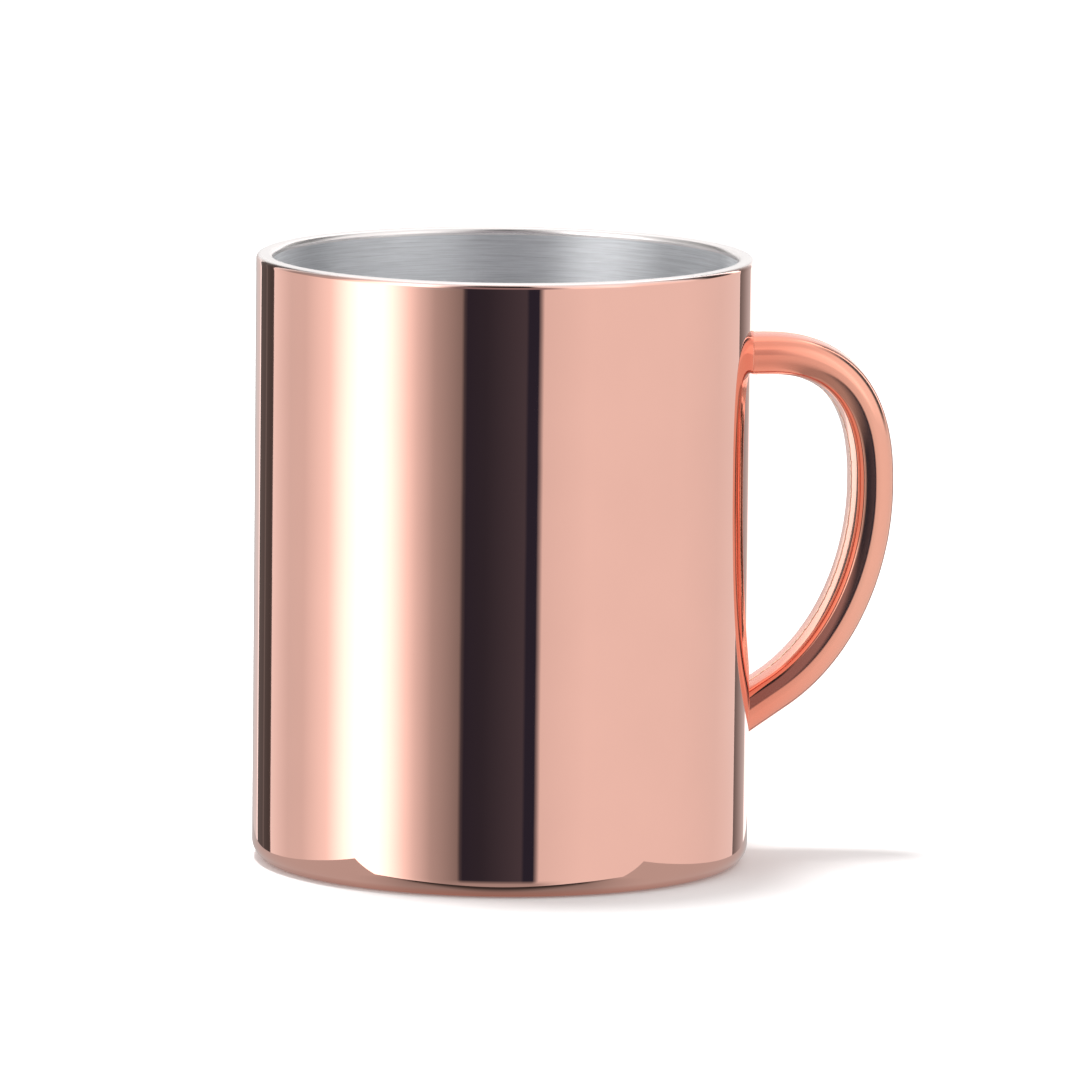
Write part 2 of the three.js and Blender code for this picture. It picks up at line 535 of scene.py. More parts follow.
def brushed_steel(name, colour):
    """Steel brushed around the cup: lines that follow the wall and circle the floor."""
    material, wiring = new_material(name)
    point = object_point(wiring)
    parts = wiring.split(point)
    run = wiring.math("ADD", wiring.from_axis(parts), parts["Z"])
    lay = wiring.add(
        "ShaderNodeCombineXYZ", {"X": parts["X"], "Y": parts["Y"], "Z": run}
    ).outputs[0]
    fine = wiring.noise(wiring.stretched(lay, (130.0, 130.0, 5200.0)), 1.0, 3.0, 0.7)
    coarse = wiring.noise(wiring.stretched(lay, (26.0, 26.0, 2300.0)), 1.0, 3.0, 0.6)
    lines = wiring.math("ADD", wiring.math("MULTIPLY", coarse, 0.6), fine)
    shade = wiring.spread(wiring.math("MULTIPLY", lines, 0.625), 0.76, 1.2)
    roughness = wiring.spread(coarse, 0.42, 0.54)
    brushed = bump(wiring, lines, 0.004 * MM)
    shader = wiring.add(
        "ShaderNodeBsdfPrincipled",
        {
            "Base Color": wiring.tinted(colour, shade),
            "Metallic": 0.75,
            "Roughness": roughness,
            "Anisotropic": 1.0,
            "Anisotropic Rotation": 0.25,
            "Normal": brushed,
            "Tangent": wiring.add(
                "ShaderNodeTangent", direction_type="RADIAL", axis="Z"
            ).outputs[0],
        },
    )
    finish_material(wiring, shader)
    return material


def weld_copper(name, colour):
    """A dressed bead: rougher than the sheet, with fine ripples and small pits."""
    material, wiring = new_material(name)
    point = object_point(wiring)
    ripples = wiring.noise(point, 1400.0, 3.0, 0.6)
    blotches = wiring.noise(point, 260.0, 2.0)
    shade = wiring.spread(blotches, 0.86, 1.08)
    roughness = wiring.spread(blotches, 0.16, 0.34)
    shader = wiring.add(
        "ShaderNodeBsdfPrincipled",
        {
            "Base Color": wiring.tinted(colour, shade),
            "Metallic": 1.0,
            "Roughness": roughness,
            "Normal": bump(wiring, ripples, 0.012 * MM),
        },
    )
    finish_material(wiring, shader)
    return material


def ground_lip(name, copper, steel, outer_radius):
    """Polished steel at the mouth, with the copper fading out over its outer edge."""
    material, wiring = new_material(name)
    point = object_point(wiring)
    radius = wiring.from_axis(wiring.split(point))
    wander = wiring.spread(wiring.noise(point, 60.0, 3.0), -0.08 * MM, 0.08 * MM)
    place = wiring.math("ADD", radius, wander)
    coated = wiring.mapped(place, outer_radius - 0.4 * MM, outer_radius - 0.02 * MM, 0.05)
    colour = wiring.mixed(coated, (*steel, 1), (*copper, 1))
    lines = wiring.noise(wiring.stretched(point, (40.0, 40.0, 4000.0)), 1.0, 2.0)
    bare = wiring.math("SUBTRACT", 1.08, coated)
    roughness = wiring.math("MULTIPLY", wiring.spread(lines, 0.22, 0.34), bare)
    shader = wiring.add(
        "ShaderNodeBsdfPrincipled",
        {
            "Base Color": colour,
            "Metallic": 1.0,
            "Roughness": roughness,
            "Normal": bump(wiring, lines, 0.001 * MM),
        },
    )
    finish_material(wiring, shader)
    return material


def dress(piece, material, slot, *nodes):
    """Gives a finished piece its material and its body, and hides the nodes it stands for. The
    slot is not used.
    """
    piece.data.materials.clear()
    piece.data.materials.append(material)
    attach(piece, BODY)
    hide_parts(*nodes)


def shared_material(name, maker, *arguments):
    """The material of that name, made once."""
    return bpy.data.materials.get(name) or maker(name, *arguments)


# ------------------------------------------------------------------ the cup


def cup_copper(finish):
    return shared_material(
        "polished_copper_cup", polished_copper, finish.copper, CUP_POLISH, CUP_RIPPLE
    )


class MUG_OT_outer_shell(bpy.types.Operator):
    """Draws the polished outer wall with its rounded foot"""

    bl_idname = "mug.outer_shell"
    bl_label = "Outer Shell"

    def execute(self, context):
        cup = context.scene.mug_cup
        radius, corner, sheet = cup.outer_radius, cup.foot_corner, cup.sheet
        top = cup.height - cup.lip_height
        foot_edge = WELD_HIGH.x
        outside = arc(radius - corner, corner, corner, -90, 0, 14)
        inside = arc(radius - corner, corner, corner - sheet, 0, -90, 14)
        outline = (
            [(foot_edge, 0)]
            + outside
            + straight((radius, corner), (radius, top), 24)
            + [(radius, top), (radius - sheet, top)]
            + straight((radius - sheet, top), (radius - sheet, corner), 6)
            + inside
            + [(foot_edge, sheet)]
        )
        piece = ring_piece("outer_shell_wall", outline, cup.segments)
        clean_up(piece)
        dress(piece, cup_copper(context.scene.mug_finish), "copper_finish", "outer_shell")
        return {"FINISHED"}


class MUG_OT_inner_liner(bpy.types.Operator):
    """Draws the brushed steel cup inside"""

    bl_idname = "mug.inner_liner"
    bl_label = "Inner Liner"

    def execute(self, context):
        cup = context.scene.mug_cup
        sheet, corner = cup.sheet, cup.liner_corner
        radius = LINER_RADIUS
        top = cup.height - cup.lip_height
        floor_z = LINER_LOW.z + sheet
        centre_r, centre_z = radius - corner, floor_z + corner
        floor_rings = [2 * MM, 8 * MM, 16 * MM, 24 * MM]
        outline = (
            [(r, LINER_LOW.z) for r in floor_rings]
            + arc(centre_r, centre_z, corner + sheet, -90, 0, 12)
            + straight((radius + sheet, centre_z), (radius + sheet, top), 6)
            + [(radius + sheet, top), (radius, top)]
            + straight((radius, top), (radius, centre_z), 24)
            + arc(centre_r, centre_z, corner, 0, -90, 16)
            + [(r, floor_z) for r in reversed(floor_rings)]
        )
        piece = dish_piece("inner_liner_cup", outline, cup.segments)
        clean_up(piece)
        material = shared_material(
            "brushed_steel_liner", brushed_steel, context.scene.mug_finish.steel
        )
        dress(piece, material, "brushed_steel", "inner_liner")
        return {"FINISHED"}


class MUG_OT_lip(bpy.types.Operator):
    """Draws the rounded ring that joins the liner and the shell at the mouth"""

    bl_idname = "mug.lip"
    bl_label = "Lip"

    def execute(self, context):
        cup = context.scene.mug_cup
        radius, rounding = cup.outer_radius, cup.lip_rounding
        bottom = cup.height - cup.lip_height
        centre_z = cup.height - rounding
        outline = (
            [(LINER_RADIUS, bottom), (radius, bottom)]
            + arc(radius - rounding, centre_z, rounding, 0, 90, 10)
            + arc(LINER_RADIUS + rounding, centre_z, rounding, 90, 180, 10)
        )
        piece = ring_piece("rolled_lip", outline, cup.segments)
        clean_up(piece)
        finish = context.scene.mug_finish
        material = shared_material(
            "ground_lip", ground_lip, finish.copper, finish.lip_steel, radius
        )
        dress(piece, material, "copper_lip", "lip_weld")
        return {"FINISHED"}


class MUG_OT_base(bpy.types.Operator):
    """Draws the pressed base cover and the weld that holds it"""

    bl_idname = "mug.base"
    bl_label = "Base"

    def execute(self, context):
        cup = context.scene.mug_cup
        finish = context.scene.mug_finish
        low, high, edge = COVER_LOW.z, COVER_HIGH.z, COVER_HIGH.x
        rings = [2 * MM, 10 * MM, 20 * MM]
        outline = (
            [(r, low) for r in rings]
            + [(edge, low), (edge, high)]
            + [(r, high) for r in reversed(rings)]
        )
        cover = dish_piece("base_cover_plate", outline, cup.segments)
        clean_up(cover)
        dress(cover, cup_copper(finish), "copper_finish", "base_cover")

        foot_edge = WELD_HIGH.x
        bead_r, bead_z = (edge + foot_edge) / 2, low * 0.9
        bead = (foot_edge - edge) / 2
        outline = arc(bead_r, bead_z, bead, 180, 360, 8) + [(foot_edge, cup.sheet), (edge, high)]
        weld = ring_piece("base_weld_ring", outline, cup.segments)
        clean_up(weld)
        material = shared_material("base_weld_copper", weld_copper, finish.copper)
        dress(weld, material, "copper_weld", "base_weld")
        return {"FINISHED"}


# ------------------------------------------------------------------ the handle


def bezier(points, share):
    a, b, c, d = points
    rest = 1 - share
    return (
        a * rest**3 + b * (3 * rest * rest * share) + c * (3 * rest * share * share) + d * share**3
    )


def grip_line(sizes, wall_radius, overrun, count):
    """Evenly spaced points of the grip's centre line, from inside one root to inside the other."""

    def at(x, z):
        return Vector((x, 0, z))

    start_x = wall_radius - overrun
    upper = at(sizes.bend_x, sizes.top_z)
    reach = at(*sizes.reach)
    lower = at(*sizes.lower)
    back = at(math.cos(sizes.lower_slope), math.sin(sizes.lower_slope))
    hold = sizes.pulls
    bends = (
        (upper, upper + at(hold[0], 0), reach + at(0, hold[1]), reach),
        (reach, reach - at(0, hold[2]), lower + back * hold[3], lower),
    )
    dense = [at(start_x, sizes.top_z)]
    for bend in bends:
        dense += [bezier(bend, i / 400) for i in range(401)]
    dense.append(lower - back * ((lower.x - start_x) / back.x))
    lengths = [0.0]
    for a, b in zip(dense, dense[1:]):
        lengths.append(lengths[-1] + (b - a).length)
    points, index = [], 0
    for step in range(count + 1):
        wanted = lengths[-1] * step / count
        while index < len(dense) - 2 and lengths[index + 1] < wanted:
            index += 1
        stretch = lengths[index + 1] - lengths[index]
        share = (wanted - lengths[index]) / stretch if stretch else 0.0
        points.append(dense[index].lerp(dense[index + 1], share))
    return points


def heading(points, index):
    """Angle of the line at a point, turned down from +X."""
    a = points[max(index - 1, 0)]
    b = points[min(index + 1, len(points) - 1)]
    return math.atan2(-(b.z - a.z), b.x - a.x)


def sweep_selection(points):
    """Extrudes the selected section, which stands at the first point, along the line."""
    turned_to = heading(points, 0)
    for index in range(1, len(points)):
        step = points[index] - points[index - 1]
        bpy.ops.mesh.extrude_region_move(TRANSFORM_OT_translate={"value": step})
        angle = heading(points, index)
        bpy.ops.transform.rotate(
            value=-(angle - turned_to), orient_axis="Y", center_override=points[index]
        )
        turned_to = angle


def trim_at_wall(piece, radius, height, segments):
    """Cuts away what lies inside the cup's wall."""
    fresh_start()
    bpy.ops.mesh.primitive_cylinder_add(
        vertices=segments, radius=radius, depth=2 * height, location=(0, 0, height / 2)
    )
    cutter = bpy.context.object
    fresh_start()
    piece.select_set(True)
    bpy.context.view_layer.objects.active = piece
    cut = piece.modifiers.new("trim", "BOOLEAN")
    cut.operation = "DIFFERENCE"
    cut.solver = "EXACT"
    cut.object = cutter
    bpy.ops.object.modifier_apply(modifier="trim")
    bpy.data.objects.remove(cutter)


SECTION_TURNS = (-90, -84.5, -22, 0, 78, 90)


def half_section(sizes):
    """Half of the grip's section as (towards the fingers, across) from inner to outer face."""
    points = [(0.0, 0.0)]
    for radius, start, end in zip(sizes.rounding, SECTION_TURNS, SECTION_TURNS[1:]):
        steps = max(3, round((end - start) / 5))
        along, across = points[-1]
        for i in range(1, steps + 1):
            turn = math.radians(start + (end - start) * i / steps)
            begin = math.radians(start)
            points.append(
                (
                    along + radius * (math.sin(turn) - math.sin(begin)),
                    across + radius * (math.cos(turn) - math.cos(begin)),
                )
            )
    stretch = sizes.thickness / points[-1][0]
    widest = max(point[1] for point in points)
    breadth = sizes.depth / 2 / widest
    half = sizes.thickness / 2
    return [(along * stretch - half, max(across, 0.0) * breadth) for along, across in points]


def trace(name, points):
    """Draws an open line by extruding one vertex from point to point."""
    fresh_start()
    bpy.ops.mesh.primitive_plane_add(size=1 * MM, location=(0, 0, 0))
    piece = name_it(name)
    bpy.ops.object.mode_set(mode="EDIT")
    bpy.ops.mesh.select_all(action="SELECT")
    bpy.ops.mesh.merge(type="CENTER")
    bpy.ops.mesh.select_mode(type="VERT")
    bpy.ops.transform.translate(value=points[0])
    for before, after in zip(points, points[1:]):
        bpy.ops.mesh.extrude_region_move(
            TRANSFORM_OT_translate={"value": Vector(after) - Vector(before)}
        )
    return piece


def add_sheet(piece, thickness):
    """Thickens a single-walled piece inwards."""
    wall = piece.modifiers.new("sheet", "SOLIDIFY")
    wall.thickness = thickness
    wall.offset = -1
    wall.use_even_offset = True
    bpy.ops.object.modifier_apply(modifier="sheet")


def seam_sway(distance, phase):
    """An uneven line between -1 and 1 along a hand-dressed seam."""
    swing = math.sin(distance * 2300 + phase) + 0.7 * math.sin(distance * 5100 + 2.1 * phase)
    return (swing + 0.6 * math.sin(distance * 11900 + 3.3 * phase)) / 2.3


class MUG_OT_handle(bpy.types.Operator):
    """Draws the two pressed halves of the handle"""

    bl_idname = "mug.handle"
    bl_label = "Handle Halves"

    def execute(self, context):
        cup, sizes = context.scene.mug_cup, context.scene.mug_handle
        finish = context.scene.mug_finish
        points = grip_line(sizes, cup.outer_radius, ROOT_OVERRUN, sizes.steps)
        material = shared_material(
            "polished_copper_handle",
            polished_copper,
            finish.handle_copper,
            HANDLE_POLISH,
            HANDLE_RIPPLE,
            # Painted reflection of the cup's copper: red next to the wall, fading out towards the
            # far bend.
            (tuple(finish.root_copper), cup.outer_radius + 2 * MM, GRIP_HIGH.x - 6 * MM),
        )
        seam_y = sizes.seam_width / 2
        section = [(up, max(across, seam_y)) for up, across in half_section(sizes)]
        for name, node, side in (
            ("handle_left_half", "handle_left_shell", -1),
            ("handle_right_half", "handle_right_shell", 1),
        ):
            outline = [points[0] + Vector((0, side * across, up)) for up, across in section]
            piece = trace(name, outline)
            bpy.ops.mesh.select_all(action="SELECT")
            sweep_selection(points)
            clean_up(piece)
            bpy.ops.object.mode_set(mode="EDIT")
            bpy.ops.mesh.select_all(action="SELECT")
            if faces_inwards(piece, side):
                bpy.ops.mesh.flip_normals()
            bpy.ops.object.mode_set(mode="OBJECT")
            add_sheet(piece, sizes.sheet)
            trim_at_wall(piece, cup.outer_radius, cup.height, cup.segments)
            clean_up(piece)
            dress(piece, material, "copper_handle", node)
        return {"FINISHED"}


def faces_inwards(piece, side):
    """True when the face farthest from the handle's plane looks back at it."""
    bpy.ops.object.mode_set(mode="OBJECT")
    farthest = max(piece.data.polygons, key=lambda face: side * face.center.y)
    inwards = farthest.normal.y * side < 0
    bpy.ops.object.mode_set(mode="EDIT")
    return inwards


class MUG_OT_seams(bpy.types.Operator):
    """Draws the dressed seams between the handle's halves"""

    bl_idname = "mug.seams"
    bl_label = "Handle Seams"

    def execute(self, context):
        cup, sizes = context.scene.mug_cup, context.scene.mug_handle
        count = 4 * sizes.steps
        points = grip_line(sizes, cup.outer_radius, ROOT_OVERRUN, count)
        half, depth = sizes.seam_width / 2, sizes.sheet
        # Paler copper on both seams, a painted highlight.
        material = shared_material(
            "seam_highlight_copper", weld_copper, context.scene.mug_finish.seam_highlight_copper
        )
        for name, node, face, wander in (
            ("handle_inner_seam", "handle_inner_seam_weld", -1, INNER_WANDER),
            ("handle_outer_seam", "handle_outer_seam_weld", 1, OUTER_WANDER),
        ):
            surface = face * sizes.thickness / 2
            crown = arc(0, 0, 1, 0, 180, 6)
            outline = [(-half, surface - face * depth), (half, surface - face * depth)]
            outline += [(half * wide, surface + face * SEAM_PROUD * high) for wide, high in crown]
            start = points[0]
            loop = [start + Vector((0, across, up)) for across, up in outline + outline[:1]]
            piece = trace(name, loop)
            bpy.ops.mesh.select_all(action="SELECT")
            bpy.ops.mesh.remove_doubles(threshold=MERGE_GAP)
            bpy.ops.mesh.edge_face_add()
            sweep_selection(points)
            bpy.ops.object.mode_set(mode="OBJECT")
            roughen_seam(piece, points, half, wander)
            trim_at_wall(piece, cup.outer_radius, cup.height, cup.segments)
            clean_up(piece)
            dress(piece, material, "copper_weld", node)
        return {"FINISHED"}


def roughen_seam(piece, points, half, wander):
    """Lets the two edges of a seam wander a little, each in its own way."""
    ring = len(piece.data.vertices) // len(points)
    for index, vertex in enumerate(piece.data.vertices):
        station = index // ring
        run = station * (points[1] - points[0]).length
        side = 1 if vertex.co.y > 0 else -1
        sway = seam_sway(run, 1.0 if side > 0 else 4.0)
        vertex.co.y += side * wander * sway * min(1.0, abs(vertex.co.y) / half)


class MUG_OT_roots(bpy.types.Operator):
    """Draws the dressed weld around each root of the handle"""

    bl_idname = "mug.roots"
    bl_label = "Root Welds"

    def execute(self, context):
        cup, sizes = context.scene.mug_cup, context.scene.mug_handle
        material = shared_material(
            "root_copper", weld_copper, context.scene.mug_finish.handle_copper
        )
        section = half_section(sizes)
        loop = section + [(up, -across) for up, across in reversed(section[1:-1])]
        back = (math.cos(sizes.lower_slope), math.sin(sizes.lower_slope))
        roots = (
            ("handle_upper_root", "handle_upper_weld", (0.0, sizes.top_z), (1.0, 0.0), 1),
            ("handle_lower_root", "handle_lower_weld", tuple(sizes.lower), back, -1),
        )
        for name, node, anchor, slope, face in roots:
            outline = []
            for up, across in loop:
                x = math.sqrt(cup.outer_radius**2 - across**2)
                side_x, side_z = anchor[0] - face * up * slope[1], anchor[1] + face * up * slope[0]
                run = (x - side_x) / slope[0]
                outline.append(Vector((x, across, side_z + run * slope[1])))
            piece = trace(name, outline + outline[:1])
            bpy.ops.mesh.select_all(action="SELECT")
            bpy.ops.mesh.remove_doubles(threshold=MERGE_GAP)
            bpy.ops.object.mode_set(mode="OBJECT")
            bpy.ops.object.convert(target="CURVE")
            curve = bpy.context.object.data
            curve.bevel_depth = ROOT_BEAD
            curve.bevel_resolution = 3
            bpy.ops.object.convert(target="MESH")
            piece = name_it(name)
            clean_up(piece, math.radians(60))
            dress(piece, material, "copper_weld", node)
        return {"FINISHED"}


# ------------------------------------------------------------------ the stage


def grey(value):
    return (value, value, value, 1)


# Light along each card and across the painted floor reflection, from the first end to the other;
# the floor reflection holds painted shade near the mug's foot and painted light to its sides.
LEFT_FLAG = (
    (0, grey(0.12)),
    (0.45, grey(0.1)),
    (0.52, grey(0.18)),
    (0.58, grey(0.09)),
    (0.9, grey(0.07)),
    (1, grey(0.12)),
)
RIGHT_FLAG = ((0, grey(0.62)), (0.25, grey(0.5)), (0.7, grey(0.28)), (1, grey(0.16)))
# Painted shade and painted light of the floor as the foot mirrors it: dark near the front edge,
# lit to the sides.
PAINTED_FLOOR_SHADE = ((0, grey(0.04)), (0.05, grey(0.06)), (0.12, grey(0.3)), (0.5, grey(0.56)))
PAINTED_SIDE_FLOOR_LIGHT = grey(0.54)
# Painted bounce light: the copper's warm glow on the floor next to the foot.
PAINTED_COPPER_BOUNCE = (0.34, 0.165, 0.12, 1)


class StageSizes(bpy.types.PropertyGroup):
    """Camera and light"""

    camera_azimuth: bpy.props.FloatProperty(
        name="Camera azimuth",
        description="Where the camera stands, turned about Z from the front",
        default=math.radians(-12),
        subtype="ANGLE",
    )
    camera_distance: bpy.props.FloatProperty(
        name="Camera distance",
        description="From the cup's axis, along the floor",
        default=1.8,
        unit="LENGTH",
    )
    camera_height: bpy.props.FloatProperty(
        name="Camera height", description="Above the floor", default=0.3107, unit="LENGTH"
    )
    camera_roll: bpy.props.FloatProperty(
        name="Camera roll",
        description="Turn about the line of sight",
        default=math.radians(0.63),
        subtype="ANGLE",
    )
    lens: bpy.props.FloatProperty(
        name="Lens", description="Focal length in millimetres", default=376.6
    )
    target: bpy.props.FloatVectorProperty(
        name="Target",
        description="What the camera looks at: distance to the right of the axis, and height",
        default=(6.01 * MM, 51.78 * MM),
        size=2,
    )


def make_camera(stage):
    azimuth = stage.camera_azimuth
    towards = Vector((math.sin(azimuth), -math.cos(azimuth), 0))
    right = Vector((math.cos(azimuth), math.sin(azimuth), 0))
    place = towards * stage.camera_distance + Vector((0, 0, stage.camera_height))
    target = right * stage.target[0] + Vector((0, 0, stage.target[1]))
    sight = (target - place).to_track_quat("-Z", "Y").to_matrix().to_4x4()
    fresh_start()
    bpy.ops.object.camera_add(location=place)
    camera = bpy.context.object
    camera.name = "camera"
    camera.data.lens = stage.lens
    camera.data.sensor_width = 36
    camera.data.clip_end = 50
    turn = Matrix.Rotation(stage.camera_roll, 4, "Z")
    camera.rotation_euler = (sight @ turn).to_euler()
    bpy.context.scene.camera = camera


# The studio around the mug, as the light that comes from each side. Angles are in degrees from
# the camera, positive to its right, and brightness 1 is a lit white wall.
STUDIO_WALLS = (
    (-180, grey(0.5)),
    (-170, grey(0.6)),
    (-164, grey(0.7)),
    (-157, grey(0.75)),
    (-155, grey(1.45)),
    (-139, grey(1.45)),
    (-137, grey(1.0)),
    (-117, grey(0.74)),
    (-105, grey(0.76)),
    (-88, grey(1.1)),
    (-80, grey(1.75)),
    (-70, grey(2.5)),
    (-58, grey(2.4)),
    (-50, grey(1.65)),
    (-45, grey(1.15)),
    (-40, grey(0.82)),
    (-32, grey(0.48)),
    (-19.0, grey(0.25)),
    (-18.1, (0.026, 0.028, 0.046, 1)),
    (-8, (0.032, 0.034, 0.05, 1)),
    (10.5, (0.066, 0.068, 0.09, 1)),
    (11.2, (0.024, 0.028, 0.05, 1)),
    (16.6, (0.024, 0.028, 0.05, 1)),
    (17.3, grey(0.82)),
    (40, grey(0.92)),
    (90, grey(0.9)),
    (118, grey(0.83)),
    (138, grey(0.88)),
    (158, grey(1.5)),
    (172, grey(1.5)),
    (180, grey(0.5)),
)
# The same above the horizon, which the lip, the inside and the top of the grip mirror.
UPPER_WALLS = (
    (-180, grey(1.05)),
    (-156, grey(1.05)),
    (-146, grey(1.7)),
    (-134, grey(1.0)),
    (-118, grey(0.35)),
    (-88, grey(0.55)),
    (-66, grey(2.0)),
    (-52, grey(2.7)),
    (-41, grey(2.4)),
    (-30, grey(1.1)),
    (-22, grey(0.1)),
    (-18, grey(0.01)),
    (14, grey(0.01)),
    (19, grey(0.7)),
    (29, grey(1.1)),
    (54, grey(1.4)),
    (67, grey(1.1)),
    (98, grey(1.05)),
    (110, grey(0.06)),
    (127, grey(0.06)),
    (138, grey(2.6)),
    (150, grey(2.6)),
    (156, grey(1.05)),
    (180, grey(1.05)),
)
BRIGHTEST = 3.0
# The ceiling on the camera's side and behind, and two gaps in the dark panel in front.
ABOVE = grey(0.95)
ABOVE_BACK = grey(1.3)
BELOW_PANEL = grey(0.42)
GAP_PANEL = (0.3, 0.27, 0.3, 1)


def height_share(wiring, height, start_deg, end_deg):
    """0 to 1 as the height of a direction goes from one angle to another."""
    return wiring.mapped(height, math.radians(start_deg), math.radians(end_deg))


def wall_light(wiring, share, walls):
    """The light around the mug at one height; the ramp holds no value above 1."""
    stops = [
        ((degrees + 180) / 360, [c / BRIGHTEST for c in colour[:3]] + [1])
        for degrees, colour in walls
    ]
    light = wiring.ramp(share, stops)
    full = wiring.add("ShaderNodeVectorMath", {0: light}, operation="SCALE")
    full.inputs["Scale"].default_value = BRIGHTEST
    return full.outputs[0]


def studio_world(stage):
    """Walls of light and dark around the mug and a white ceiling."""
    world = bpy.data.worlds.new("studio")
    bpy.context.scene.world = world
    world.use_nodes = True
    wiring = Wiring(world.node_tree)
    direction = wiring.add("ShaderNodeTexCoord").outputs["Generated"]
    turned_view = wiring.add(
        "ShaderNodeMapping", {"Vector": direction, "Rotation": (0, 0, -stage.camera_azimuth)}
    ).outputs[0]
    parts = wiring.split(turned_view)
    angle = wiring.math("ARCTAN2", parts["X"], wiring.math("MULTIPLY", parts["Y"], -1.0))
    share = wiring.math("ADD", wiring.math("DIVIDE", angle, 2 * math.pi), 0.5)
    height = wiring.math("ARCSINE", parts["Z"])
    lit = wiring.mixed(
        height_share(wiring, height, 1, 8),
        wall_light(wiring, share, STUDIO_WALLS),
        wall_light(wiring, share, UPPER_WALLS),
    )
    in_front = height_share(wiring, wiring.math("ABSOLUTE", angle), 32, 18)
    under = wiring.math("MULTIPLY", height_share(wiring, height, -13, -32), in_front)
    lit = wiring.mixed(under, lit, BELOW_PANEL)
    gap = wiring.math("MULTIPLY", height_share(wiring, height, 0, 7), in_front)
    gap = wiring.math("MULTIPLY", height_share(wiring, height, 38, 32), gap)
    lit = wiring.mixed(gap, lit, GAP_PANEL)
    behind = height_share(wiring, wiring.math("ABSOLUTE", angle), 90, 140)
    ceiling = wiring.mixed(behind, ABOVE, ABOVE_BACK)
    sides = wiring.math("SUBTRACT", height_share(wiring, height, 38, 60), in_front, clamp=True)
    overhead = wiring.math("MAXIMUM", sides, height_share(wiring, height, 60, 80))
    lit = wiring.mixed(overhead, lit, ceiling)
    for_camera = wiring.add("ShaderNodeLightPath").outputs["Is Camera Ray"]
    shown = wiring.mixed(for_camera, lit, grey(1.0))
    background = wiring.add("ShaderNodeBackground", {"Color": shown, "Strength": 1.0})
    wiring.add("ShaderNodeOutputWorld", {"Surface": background.outputs[0]})


def glow_material(name, stops, length):
    """Plain light that changes along a card."""
    material, wiring = new_material(name)
    point = object_point(wiring)
    along = wiring.split(point)["X"]
    share = wiring.math("ADD", wiring.math("DIVIDE", along, length), 0.5)
    glow = wiring.ramp(share, stops)
    shader = wiring.add("ShaderNodeEmission", {"Color": glow, "Strength": 1.0})
    finish_material(wiring, shader)
    return material


def only_reflected(card):
    """Lets a studio card show in polished metal and nowhere else."""
    card.visible_camera = False
    card.visible_diffuse = False
    card.visible_shadow = False
    card.visible_transmission = False


def mirrored_point(angle, radius):
    """Where a ray that the cup's wall mirrors towards an angle ends, a card's distance away."""
    wall = Vector((math.sin(angle / 2), -math.cos(angle / 2), 0)) * radius
    return wall + Vector((math.sin(angle), -math.cos(angle), 0)) * CARD_DISTANCE


def add_card(name, stage, cup, start_deg, end_deg, stops):
    """A tall card behind the mug that its wall mirrors between two angles from the camera."""
    turn = Matrix.Rotation(stage.camera_azimuth, 3, "Z")
    start = turn @ mirrored_point(math.radians(start_deg), cup.outer_radius)
    end = turn @ mirrored_point(math.radians(end_deg), cup.outer_radius)
    width = (end - start).length
    fresh_start()
    bpy.ops.mesh.primitive_plane_add(size=1)
    card = name_it(name)
    bpy.ops.transform.resize(value=(width, CARD_HEIGHT, 1))
    bpy.ops.object.transform_apply(scale=True)
    along = math.atan2(end.y - start.y, end.x - start.x)
    card.rotation_euler = (math.radians(90), 0, along)
    card.location = (start + end) / 2 + Vector((0, 0, CARD_HEIGHT / 2 - CARD_DROP))
    card.data.materials.append(glow_material(name + "_light", stops, width))
    only_reflected(card)


def add_floor_reflection(stage, cup):
    """A glowing sheet under the mug that only its foot mirrors: a painted floor reflection, with
    painted shade near its front edge and painted light to the sides.
    """
    fresh_start()
    bpy.ops.mesh.primitive_plane_add(size=1)
    floor_reflection = name_it("floor_reflection")
    front, back = FLOOR_REFLECTION_FRONT, FLOOR_REFLECTION_BACK
    bpy.ops.transform.resize(value=(2 * FLOOR_REFLECTION_SIDE, front + back, 1))
    floor_reflection.location = (0, (back - front) / 2, 0)
    settle(floor_reflection)
    floor_reflection.rotation_euler = (0, 0, stage.camera_azimuth)
    material, wiring = new_material("painted_floor_reflection")
    point = object_point(wiring)
    parts = wiring.split(point)
    from_front = wiring.math("ADD", parts["Y"], front)
    radius = wiring.add("ShaderNodeVectorMath", {0: point}, operation="LENGTH").outputs["Value"]
    from_wall = wiring.math("SUBTRACT", radius, cup.outer_radius)
    # Painted shade: the floor reflection darkens towards its front edge.
    glow = wiring.ramp(wiring.math("DIVIDE", from_front, FLOOR_SHADE_FADE), PAINTED_FLOOR_SHADE)
    from_middle = wiring.math("ABSOLUTE", parts["X"])
    fade_end = SIDE_LIGHT_START + SIDE_LIGHT_FADE
    # Painted light: the floor reflection is lighter to each side of the mug.
    beside = wiring.mapped(from_middle, SIDE_LIGHT_START, fade_end)
    glow = wiring.mixed(beside, glow, PAINTED_SIDE_FLOOR_LIGHT)
    # Painted bounce light: the floor reflection turns copper-warm under the edge of the wall.
    bounce_share = wiring.math("DIVIDE", from_wall, COPPER_BOUNCE_REACH)
    colour = wiring.mixed(wiring.math("ADD", bounce_share, 1.0, clamp=True), PAINTED_COPPER_BOUNCE, glow)
    shader = wiring.add("ShaderNodeEmission", {"Color": colour, "Strength": 1.0})
    finish_material(wiring, shader)
    floor_reflection.data.materials.append(material)
    only_reflected(floor_reflection)


